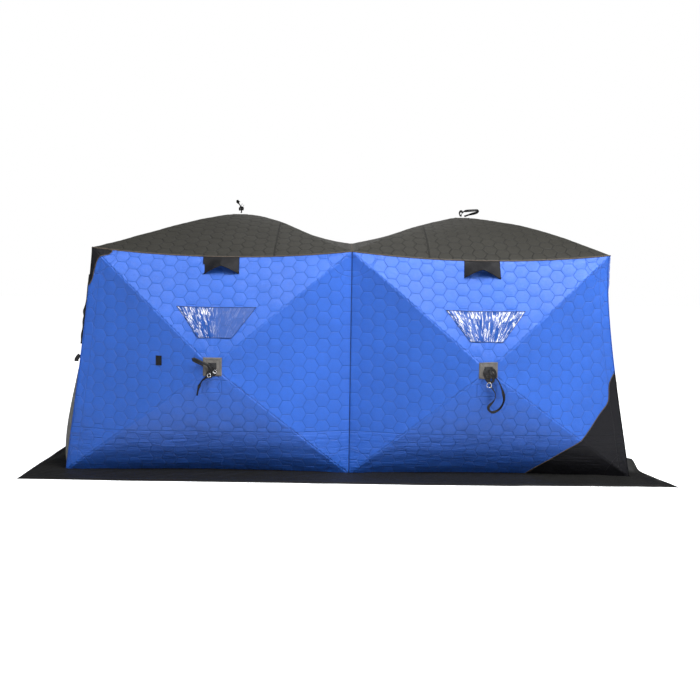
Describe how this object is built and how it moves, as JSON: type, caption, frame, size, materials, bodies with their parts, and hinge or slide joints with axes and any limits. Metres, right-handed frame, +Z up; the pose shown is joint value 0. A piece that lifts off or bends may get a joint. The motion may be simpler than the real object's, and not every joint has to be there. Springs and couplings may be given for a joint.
{
  "type": "ice fishing shelter",
  "caption": "Pop-up ice fishing tent with quilted walls pushed out by hubs and poles, a low domed roof, a ground skirt, windows, roof vents and a side door.",
  "frame": {"origin": "middle of the footprint, on the ice under the skirt", "axes": "+X along the front towards the end wall without a door, +Y from the front to the back, +Z up"},
  "size_m": [4.864, 2.866, 2.1385],
  "materials": {
    "blue_quilt": "matte",
    "grey_quilt": "matte",
    "black_nylon": "matte",
    "clear_vinyl": "gloss",
    "hub_nylon": "satin",
    "pole_glass_fibre": "satin",
    "webbing": "matte",
    "zip_tape": "matte"
  },
  "bodies": {
    "root": {"front_wall_left": "blue_quilt", "front_wall_right": "blue_quilt", "back_wall_left": "blue_quilt", "back_wall_right": "blue_quilt", "end_wall_left": "blue_quilt", "end_wall_right": "blue_quilt", "roof_left": "grey_quilt", "roof_right": "grey_quilt", "ground_skirt": "black_nylon", "front_window_left": "clear_vinyl", "front_window_right": "clear_vinyl", "vent_hood_left": "black_nylon", "vent_hood_right": "black_nylon"},
    "front_left_hub": {"front_left_hub": "hub_nylon", "front_left_pull_strap": "webbing"},
    "front_left_pole_upper_outer": {"front_left_pole_upper_outer": "pole_glass_fibre"},
    "front_left_pole_upper_inner": {"front_left_pole_upper_inner": "pole_glass_fibre"},
    "front_left_pole_lower_inner": {"front_left_pole_lower_inner": "pole_glass_fibre"},
    "front_left_pole_lower_outer": {"front_left_pole_lower_outer": "pole_glass_fibre"},
    "front_right_hub": {"front_right_hub": "hub_nylon", "front_right_pull_strap": "webbing"},
    "front_right_pole_upper_outer": {"front_right_pole_upper_outer": "pole_glass_fibre"},
    "front_right_pole_upper_inner": {"front_right_pole_upper_inner": "pole_glass_fibre"},
    "front_right_pole_lower_inner": {"front_right_pole_lower_inner": "pole_glass_fibre"},
    "front_right_pole_lower_outer": {"front_right_pole_lower_outer": "pole_glass_fibre"},
    "back_left_hub": {"back_left_hub": "hub_nylon"},
    "back_left_pole_upper_outer": {"back_left_pole_upper_outer": "pole_glass_fibre"},
    "back_left_pole_upper_inner": {"back_left_pole_upper_inner": "pole_glass_fibre"},
    "back_left_pole_lower_inner": {"back_left_pole_lower_inner": "pole_glass_fibre"},
    "back_left_pole_lower_outer": {"back_left_pole_lower_outer": "pole_glass_fibre"},
    "back_right_hub": {"back_right_hub": "hub_nylon"},
    "back_right_pole_upper_outer": {"back_right_pole_upper_outer": "pole_glass_fibre"},
    "back_right_pole_upper_inner": {"back_right_pole_upper_inner": "pole_glass_fibre"},
    "back_right_pole_lower_inner": {"back_right_pole_lower_inner": "pole_glass_fibre"},
    "back_right_pole_lower_outer": {"back_right_pole_lower_outer": "pole_glass_fibre"},
    "end_left_hub": {"end_left_hub": "hub_nylon"},
    "end_left_pole_upper_front": {"end_left_pole_upper_front": "pole_glass_fibre"},
    "end_left_pole_upper_back": {"end_left_pole_upper_back": "pole_glass_fibre"},
    "end_left_pole_lower_back": {"end_left_pole_lower_back": "pole_glass_fibre"},
    "end_left_pole_lower_front": {"end_left_pole_lower_front": "pole_glass_fibre"},
    "end_right_hub": {"end_right_hub": "hub_nylon"},
    "end_right_pole_upper_front": {"end_right_pole_upper_front": "pole_glass_fibre"},
    "end_right_pole_upper_back": {"end_right_pole_upper_back": "pole_glass_fibre"},
    "end_right_pole_lower_back": {"end_right_pole_lower_back": "pole_glass_fibre"},
    "end_right_pole_lower_front": {"end_right_pole_lower_front": "pole_glass_fibre"},
    "roof_left_hub": {"roof_left_hub": "hub_nylon", "roof_left_pull_strap": "webbing"},
    "roof_left_pole_front_outer": {"roof_left_pole_front_outer": "pole_glass_fibre"},
    "roof_left_pole_front_inner": {"roof_left_pole_front_inner": "pole_glass_fibre"},
    "roof_left_pole_back_inner": {"roof_left_pole_back_inner": "pole_glass_fibre"},
    "roof_left_pole_back_outer": {"roof_left_pole_back_outer": "pole_glass_fibre"},
    "roof_right_hub": {"roof_right_hub": "hub_nylon", "roof_right_pull_strap": "webbing"},
    "roof_right_pole_front_outer": {"roof_right_pole_front_outer": "pole_glass_fibre"},
    "roof_right_pole_front_inner": {"roof_right_pole_front_inner": "pole_glass_fibre"},
    "roof_right_pole_back_inner": {"roof_right_pole_back_inner": "pole_glass_fibre"},
    "roof_right_pole_back_outer": {"roof_right_pole_back_outer": "pole_glass_fibre"},
    "door_surround": {"door_surround": "blue_quilt", "door_zip": "zip_tape"},
    "door_leaf": {"door_leaf": "blue_quilt"}
  },
  "joints": [
    {"name": "front_left_hub_pop", "type": "slide", "parent": "root", "child": "front_left_hub", "axis": [0, -0.9994, 0.0336], "range_m": [-0.434, 0], "deforming": ["front_wall_left", "front_window_left"]},
    {"name": "front_left_pole_upper_outer_hinge", "type": "hinge", "parent": "front_left_hub", "child": "front_left_pole_upper_outer", "pos_m": [-1.04507, -1.33097, 0.86898], "axis": [-0.6782, -0.0247, -0.7344], "range_deg": [-20.96, 0]},
    {"name": "front_left_pole_upper_inner_hinge", "type": "hinge", "parent": "front_left_hub", "child": "front_left_pole_upper_inner", "pos_m": [-0.97785, -1.33101, 0.86777], "axis": [-0.6512, 0.0255, 0.7584], "range_deg": [-20.07, 0]},
    {"name": "front_left_pole_lower_inner_hinge", "type": "hinge", "parent": "front_left_hub", "child": "front_left_pole_lower_inner", "pos_m": [-0.97719, -1.33295, 0.80998], "axis": [0.6338, 0.026, 0.7731], "range_deg": [-20.49, 0]},
    {"name": "front_left_pole_lower_outer_hinge", "type": "hinge", "parent": "front_left_hub", "child": "front_left_pole_lower_outer", "pos_m": [-1.04855, -1.33288, 0.81224], "axis": [0.5835, -0.0273, -0.8116], "range_deg": [-18.76, 0]},
    {"name": "front_right_hub_pop", "type": "slide", "parent": "root", "child": "front_right_hub", "axis": [0, -0.9994, 0.0336], "range_m": [-0.434, 0], "deforming": ["front_wall_right", "front_window_right"]},
    {"name": "front_right_pole_upper_outer_hinge", "type": "hinge", "parent": "front_right_hub", "child": "front_right_pole_upper_outer", "pos_m": [1.04507, -1.33097, 0.86898], "axis": [-0.6782, 0.0247, 0.7344], "range_deg": [-20.96, 0]},
    {"name": "front_right_pole_upper_inner_hinge", "type": "hinge", "parent": "front_right_hub", "child": "front_right_pole_upper_inner", "pos_m": [0.97785, -1.33101, 0.86777], "axis": [-0.6512, -0.0255, -0.7584], "range_deg": [-20.07, 0]},
    {"name": "front_right_pole_lower_inner_hinge", "type": "hinge", "parent": "front_right_hub", "child": "front_right_pole_lower_inner", "pos_m": [0.97719, -1.33295, 0.80998], "axis": [0.6338, -0.026, -0.7731], "range_deg": [-20.49, 0]},
    {"name": "front_right_pole_lower_outer_hinge", "type": "hinge", "parent": "front_right_hub", "child": "front_right_pole_lower_outer", "pos_m": [1.04855, -1.33288, 0.81224], "axis": [0.5835, 0.0273, 0.8116], "range_deg": [-18.76, 0]},
    {"name": "back_left_hub_pop", "type": "slide", "parent": "root", "child": "back_left_hub", "axis": [0, 0.9994, 0.0336], "range_m": [-0.434, 0], "deforming": ["back_wall_left"]},
    {"name": "back_left_pole_upper_outer_hinge", "type": "hinge", "parent": "back_left_hub", "child": "back_left_pole_upper_outer", "pos_m": [-1.04507, 1.33097, 0.86898], "axis": [0.6782, -0.0247, 0.7344], "range_deg": [-20.96, 0]},
    {"name": "back_left_pole_upper_inner_hinge", "type": "hinge", "parent": "back_left_hub", "child": "back_left_pole_upper_inner", "pos_m": [-0.97785, 1.33101, 0.86777], "axis": [0.6512, 0.0255, -0.7584], "range_deg": [-20.07, 0]},
    {"name": "back_left_pole_lower_inner_hinge", "type": "hinge", "parent": "back_left_hub", "child": "back_left_pole_lower_inner", "pos_m": [-0.97719, 1.33295, 0.80998], "axis": [-0.6338, 0.026, -0.7731], "range_deg": [-20.49, 0]},
    {"name": "back_left_pole_lower_outer_hinge", "type": "hinge", "parent": "back_left_hub", "child": "back_left_pole_lower_outer", "pos_m": [-1.04855, 1.33288, 0.81224], "axis": [-0.5835, -0.0273, 0.8116], "range_deg": [-18.76, 0]},
    {"name": "back_right_hub_pop", "type": "slide", "parent": "root", "child": "back_right_hub", "axis": [0, 0.9994, 0.0336], "range_m": [-0.434, 0], "deforming": ["back_wall_right"]},
    {"name": "back_right_pole_upper_outer_hinge", "type": "hinge", "parent": "back_right_hub", "child": "back_right_pole_upper_outer", "pos_m": [1.04507, 1.33097, 0.86898], "axis": [0.6782, 0.0247, -0.7344], "range_deg": [-20.96, 0]},
    {"name": "back_right_pole_upper_inner_hinge", "type": "hinge", "parent": "back_right_hub", "child": "back_right_pole_upper_inner", "pos_m": [0.97785, 1.33101, 0.86777], "axis": [0.6512, -0.0255, 0.7584], "range_deg": [-20.07, 0]},
    {"name": "back_right_pole_lower_inner_hinge", "type": "hinge", "parent": "back_right_hub", "child": "back_right_pole_lower_inner", "pos_m": [0.97719, 1.33295, 0.80998], "axis": [-0.6338, -0.026, 0.7731], "range_deg": [-20.49, 0]},
    {"name": "back_right_pole_lower_outer_hinge", "type": "hinge", "parent": "back_right_hub", "child": "back_right_pole_lower_outer", "pos_m": [1.04855, 1.33288, 0.81224], "axis": [-0.5835, 0.0273, -0.8116], "range_deg": [-18.76, 0]},
    {"name": "end_left_hub_pop", "type": "slide", "parent": "root", "child": "end_left_hub", "axis": [-0.9922, 0, 0.1246], "range_m": [-0.434, 0], "deforming": ["end_wall_left", "door_surround"]},
    {"name": "end_left_pole_upper_front_hinge", "type": "hinge", "parent": "end_left_hub", "child": "end_left_pole_upper_front", "pos_m": [-2.24979, -0.03534, 0.88368], "axis": [0.0978, 0.619, 0.7793], "range_deg": [-18.87, 0]},
    {"name": "end_left_pole_upper_back_hinge", "type": "hinge", "parent": "end_left_hub", "child": "end_left_pole_upper_back", "pos_m": [-2.24979, 0.03534, 0.88368], "axis": [-0.0978, 0.619, -0.7793], "range_deg": [-18.87, 0]},
    {"name": "end_left_pole_lower_back_hinge", "type": "hinge", "parent": "end_left_hub", "child": "end_left_pole_lower_back", "pos_m": [-2.25652, 0.03659, 0.83005], "axis": [-0.1013, -0.582, -0.8069], "range_deg": [-18.56, 0]},
    {"name": "end_left_pole_lower_front_hinge", "type": "hinge", "parent": "end_left_hub", "child": "end_left_pole_lower_front", "pos_m": [-2.25652, -0.03659, 0.83005], "axis": [0.1013, -0.582, 0.8069], "range_deg": [-18.56, 0]},
    {"name": "end_right_hub_pop", "type": "slide", "parent": "root", "child": "end_right_hub", "axis": [0.9922, 0, 0.1246], "range_m": [-0.434, 0], "deforming": ["end_wall_right"]},
    {"name": "end_right_pole_upper_front_hinge", "type": "hinge", "parent": "end_right_hub", "child": "end_right_pole_upper_front", "pos_m": [2.24979, -0.03534, 0.88368], "axis": [0.0978, -0.619, -0.7793], "range_deg": [-18.87, 0]},
    {"name": "end_right_pole_upper_back_hinge", "type": "hinge", "parent": "end_right_hub", "child": "end_right_pole_upper_back", "pos_m": [2.24979, 0.03534, 0.88368], "axis": [-0.0978, -0.619, 0.7793], "range_deg": [-18.87, 0]},
    {"name": "end_right_pole_lower_back_hinge", "type": "hinge", "parent": "end_right_hub", "child": "end_right_pole_lower_back", "pos_m": [2.25652, 0.03659, 0.83005], "axis": [-0.1013, 0.582, 0.8069], "range_deg": [-18.56, 0]},
    {"name": "end_right_pole_lower_front_hinge", "type": "hinge", "parent": "end_right_hub", "child": "end_right_pole_lower_front", "pos_m": [2.25652, -0.03659, 0.83005], "axis": [0.1013, 0.582, -0.8069], "range_deg": [-18.56, 0]},
    {"name": "roof_left_hub_pop", "type": "slide", "parent": "root", "child": "roof_left_hub", "axis": [0, 0, 1], "range_m": [-0.66, 0], "deforming": ["roof_left"]},
    {"name": "roof_left_pole_front_outer_hinge", "type": "hinge", "parent": "roof_left_hub", "child": "roof_left_pole_front_outer", "pos_m": [-1.00966, -0.03384, 2.006], "axis": [0.752, -0.6592, 0], "range_deg": [-27.12, 0]},
    {"name": "roof_left_pole_front_inner_hinge", "type": "hinge", "parent": "roof_left_hub", "child": "roof_left_pole_front_inner", "pos_m": [-0.95022, -0.03373, 2.006], "axis": [0.7496, 0.6618, 0], "range_deg": [-27.03, 0]},
    {"name": "roof_left_pole_back_inner_hinge", "type": "hinge", "parent": "roof_left_hub", "child": "roof_left_pole_back_inner", "pos_m": [-0.95022, 0.03373, 2.006], "axis": [-0.7496, 0.6618, 0], "range_deg": [-27.03, 0]},
    {"name": "roof_left_pole_back_outer_hinge", "type": "hinge", "parent": "roof_left_hub", "child": "roof_left_pole_back_outer", "pos_m": [-1.00966, 0.03384, 2.006], "axis": [-0.752, -0.6592, 0], "range_deg": [-27.12, 0]},
    {"name": "roof_right_hub_pop", "type": "slide", "parent": "root", "child": "roof_right_hub", "axis": [0, 0, 1], "range_m": [-0.66, 0], "deforming": ["roof_right"]},
    {"name": "roof_right_pole_front_outer_hinge", "type": "hinge", "parent": "roof_right_hub", "child": "roof_right_pole_front_outer", "pos_m": [1.00966, -0.03384, 2.006], "axis": [0.752, 0.6592, 0], "range_deg": [-27.12, 0]},
    {"name": "roof_right_pole_front_inner_hinge", "type": "hinge", "parent": "roof_right_hub", "child": "roof_right_pole_front_inner", "pos_m": [0.95022, -0.03373, 2.006], "axis": [0.7496, -0.6618, 0], "range_deg": [-27.03, 0]},
    {"name": "roof_right_pole_back_inner_hinge", "type": "hinge", "parent": "roof_right_hub", "child": "roof_right_pole_back_inner", "pos_m": [0.95022, 0.03373, 2.006], "axis": [-0.7496, -0.6618, 0], "range_deg": [-27.03, 0]},
    {"name": "roof_right_pole_back_outer_hinge", "type": "hinge", "parent": "roof_right_hub", "child": "roof_right_pole_back_outer", "pos_m": [1.00966, 0.03384, 2.006], "axis": [-0.752, 0.6592, 0], "range_deg": [-27.12, 0]},
    {"name": "door_surround_fold", "type": "hinge", "parent": "root", "child": "door_surround", "pos_m": [-2.166, -1.167, 0.0033], "axis": [0.1245, 0.0333, 0.9917], "range_deg": [-23.3, 0]},
    {"name": "door_swing", "type": "hinge", "parent": "door_surround", "child": "door_leaf", "pos_m": [-2.22964, -0.50189, 0.56479], "axis": [-0.1245, -0.0333, -0.9917], "range_deg": [0, 110]}
  ],
  "couplings": [
    {"joint": "front_left_pole_upper_outer_hinge", "follows": "front_left_hub_pop", "rad_per_m": 0.84251},
    {"joint": "front_left_pole_upper_inner_hinge", "follows": "front_left_hub_pop", "rad_per_m": 0.80679},
    {"joint": "front_left_pole_lower_inner_hinge", "follows": "front_left_hub_pop", "rad_per_m": 0.82342},
    {"joint": "front_left_pole_lower_outer_hinge", "follows": "front_left_hub_pop", "rad_per_m": 0.75404},
    {"joint": "front_right_pole_upper_outer_hinge", "follows": "front_right_hub_pop", "rad_per_m": 0.84251},
    {"joint": "front_right_pole_upper_inner_hinge", "follows": "front_right_hub_pop", "rad_per_m": 0.80679},
    {"joint": "front_right_pole_lower_inner_hinge", "follows": "front_right_hub_pop", "rad_per_m": 0.82342},
    {"joint": "front_right_pole_lower_outer_hinge", "follows": "front_right_hub_pop", "rad_per_m": 0.75404},
    {"joint": "back_left_pole_upper_outer_hinge", "follows": "back_left_hub_pop", "rad_per_m": 0.84251},
    {"joint": "back_left_pole_upper_inner_hinge", "follows": "back_left_hub_pop", "rad_per_m": 0.80679},
    {"joint": "back_left_pole_lower_inner_hinge", "follows": "back_left_hub_pop", "rad_per_m": 0.82342},
    {"joint": "back_left_pole_lower_outer_hinge", "follows": "back_left_hub_pop", "rad_per_m": 0.75404},
    {"joint": "back_right_pole_upper_outer_hinge", "follows": "back_right_hub_pop", "rad_per_m": 0.84251},
    {"joint": "back_right_pole_upper_inner_hinge", "follows": "back_right_hub_pop", "rad_per_m": 0.80679},
    {"joint": "back_right_pole_lower_inner_hinge", "follows": "back_right_hub_pop", "rad_per_m": 0.82342},
    {"joint": "back_right_pole_lower_outer_hinge", "follows": "back_right_hub_pop", "rad_per_m": 0.75404},
    {"joint": "end_left_pole_upper_front_hinge", "follows": "end_left_hub_pop", "rad_per_m": 0.75843},
    {"joint": "end_left_pole_upper_back_hinge", "follows": "end_left_hub_pop", "rad_per_m": 0.75843},
    {"joint": "end_left_pole_lower_back_hinge", "follows": "end_left_hub_pop", "rad_per_m": 0.74618},
    {"joint": "end_left_pole_lower_front_hinge", "follows": "end_left_hub_pop", "rad_per_m": 0.74618},
    {"joint": "end_right_pole_upper_front_hinge", "follows": "end_right_hub_pop", "rad_per_m": 0.75843},
    {"joint": "end_right_pole_upper_back_hinge", "follows": "end_right_hub_pop", "rad_per_m": 0.75843},
    {"joint": "end_right_pole_lower_back_hinge", "follows": "end_right_hub_pop", "rad_per_m": 0.74618},
    {"joint": "end_right_pole_lower_front_hinge", "follows": "end_right_hub_pop", "rad_per_m": 0.74618},
    {"joint": "roof_left_pole_front_outer_hinge", "follows": "roof_left_hub_pop", "rad_per_m": 0.71695},
    {"joint": "roof_left_pole_front_inner_hinge", "follows": "roof_left_hub_pop", "rad_per_m": 0.71462},
    {"joint": "roof_left_pole_back_inner_hinge", "follows": "roof_left_hub_pop", "rad_per_m": 0.71462},
    {"joint": "roof_left_pole_back_outer_hinge", "follows": "roof_left_hub_pop", "rad_per_m": 0.71695},
    {"joint": "roof_right_pole_front_outer_hinge", "follows": "roof_right_hub_pop", "rad_per_m": 0.71695},
    {"joint": "roof_right_pole_front_inner_hinge", "follows": "roof_right_hub_pop", "rad_per_m": 0.71462},
    {"joint": "roof_right_pole_back_inner_hinge", "follows": "roof_right_hub_pop", "rad_per_m": 0.71462},
    {"joint": "roof_right_pole_back_outer_hinge", "follows": "roof_right_hub_pop", "rad_per_m": 0.71695},
    {"joint": "door_surround_fold", "follows": "end_left_hub_pop", "rad_per_m": 0.93644}
  ]
}
